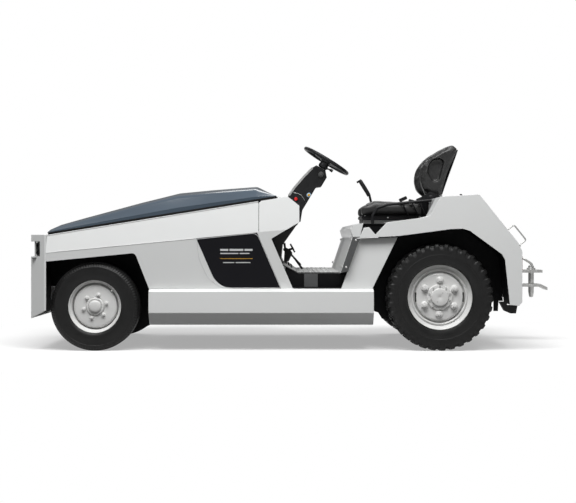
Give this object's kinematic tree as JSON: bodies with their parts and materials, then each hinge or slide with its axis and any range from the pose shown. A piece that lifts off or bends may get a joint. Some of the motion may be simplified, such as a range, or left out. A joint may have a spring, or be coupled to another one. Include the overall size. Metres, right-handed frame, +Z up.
{
  "type": "airport tow tractor",
  "caption": "Low electric airport tow tractor with an open driver's seat, steered front wheels, an opening hood and a drop-pin tow hitch at the rear.",
  "frame": {"origin": "on the floor under the middle of the overall length and width", "axes": "+Z up, -X to the nose, -Y to the driver's left"},
  "size_m": [3.532, 1.45, 1.3946],
  "materials": {
    "body_paint": "satin",
    "nose_paint": "satin",
    "hood_paint": "gloss",
    "black_cover": "matt",
    "frame_black": "matt",
    "floor_steel": "worn tread plate",
    "tyre_rubber": "matt",
    "rim_paint": "satin",
    "trim_rubber": "matt",
    "lamp_lens": "clear",
    "tail_lens": "gloss",
    "seat_vinyl": "grained vinyl",
    "black_plastic": "grained",
    "hitch_steel": "zinc",
    "steel": "machined and painted",
    "battery_case": "satin"
  },
  "bodies": {
    "chassis": {"frame_rails": "frame_black", "cross_members": "frame_black", "belly_plate": "frame_black", "sills": "body_paint", "nose_panel": "nose_paint", "headlamps": "lamp_lens", "side_panels": "body_paint", "side_covers": "black_cover", "cowl_panels": "body_paint", "cowl_bridge": "body_paint", "dash_panel": "black_plastic", "front_arch_liners": "frame_black", "battery": "battery_case", "front_axle_beam": "frame_black", "leaf_springs": "frame_black", "rear_axle": "frame_black", "drive_motor": "steel", "floor_plate": "floor_steel", "step_risers": "frame_black", "rubber_pads": "trim_rubber", "pedals": "black_plastic", "seat_box": "frame_black", "seat_box_sides": "body_paint", "rear_fenders": "body_paint", "rear_panel": "body_paint", "rear_arch_liners": "frame_black", "seat_base": "frame_black", "seat_bracket": "frame_black", "seat_cushion": "seat_vinyl", "seat_backrest": "seat_vinyl", "guard_rails": "black_plastic", "parking_brake_lever": "black_plastic", "steering_column": "black_plastic", "steering_gearbox": "steel", "tow_hitch": "hitch_steel", "grab_handles": "hitch_steel", "rear_lamps": "tail_lens", "hood_seals": "trim_rubber"},
    "hood": {"hood": "hood_paint"},
    "steering_wheel": {"steering_wheel": "black_plastic"},
    "knuckle_left": {"knuckle_left": "steel"},
    "knuckle_right": {"knuckle_right": "steel"},
    "tie_rod": {"tie_rod": "steel"},
    "pitman_arm": {"pitman_arm": "steel"},
    "front_wheel_left": {"front_tyre_left": "tyre_rubber", "front_rim_left": "rim_paint"},
    "front_wheel_right": {"front_tyre_right": "tyre_rubber", "front_rim_right": "rim_paint"},
    "rear_wheel_left": {"rear_tyre_left": "tyre_rubber", "rear_rim_left": "rim_paint"},
    "rear_wheel_right": {"rear_tyre_right": "tyre_rubber", "rear_rim_right": "rim_paint"},
    "hitch_pin": {"hitch_pin": "hitch_steel"}
  },
  "joints": [
    {"name": "front_left_steer", "type": "hinge", "parent": "chassis", "child": "knuckle_left", "pos_m": [-1.34, -0.585, 0.29], "axis": [0, 0, 1], "range_deg": [-36, 36]},
    {"name": "front_right_steer", "type": "hinge", "parent": "chassis", "child": "knuckle_right", "pos_m": [-1.34, 0.585, 0.29], "axis": [0, 0, 1], "range_deg": [-36, 36]},
    {"name": "tie_rod_swing", "type": "hinge", "parent": "knuckle_left", "child": "tie_rod", "pos_m": [-1.235, -0.585, 0.257], "axis": [0, 0, 1], "range_deg": [-36, 36]},
    {"name": "pitman_swing", "type": "hinge", "parent": "chassis", "child": "pitman_arm", "pos_m": [-1.2, -0.15, 0.277], "axis": [0, 0, 1], "range_deg": [-36, 36]},
    {"name": "steering_wheel_turn", "type": "hinge", "parent": "chassis", "child": "steering_wheel", "pos_m": [0.198, 0, 1.28995], "axis": [0.521, 0, 0.8536], "range_deg": [-720, 720]},
    {"name": "front_left_spin", "type": "hinge", "parent": "knuckle_left", "child": "front_wheel_left", "pos_m": [-1.34, -0.625, 0.29], "axis": [0, 1, 0], "continuous": true},
    {"name": "front_right_spin", "type": "hinge", "parent": "knuckle_right", "child": "front_wheel_right", "pos_m": [-1.34, 0.625, 0.29], "axis": [0, 1, 0], "continuous": true},
    {"name": "rear_left_spin", "type": "hinge", "parent": "chassis", "child": "rear_wheel_left", "pos_m": [0.918, -0.61, 0.35], "axis": [0, 1, 0], "continuous": true},
    {"name": "rear_right_spin", "type": "hinge", "parent": "chassis", "child": "rear_wheel_right", "pos_m": [0.918, 0.61, 0.35], "axis": [0, 1, 0], "continuous": true},
    {"name": "hood_hinge", "type": "hinge", "parent": "chassis", "child": "hood", "pos_m": [-0.14, 0, 1.00886], "axis": [0, 1, 0], "range_deg": [0, 60]},
    {"name": "hitch_pin_lift", "type": "slide", "parent": "chassis", "child": "hitch_pin", "axis": [0, 0, 1], "range_m": [0, 0.15]}
  ],
  "couplings": [
    {"joint": "front_right_steer", "follows": "front_left_steer", "ratio": 1},
    {"joint": "tie_rod_swing", "follows": "front_left_steer", "ratio": -1},
    {"joint": "pitman_swing", "follows": "front_left_steer", "ratio": 1},
    {"joint": "steering_wheel_turn", "follows": "front_left_steer", "ratio": 20}
  ]
}
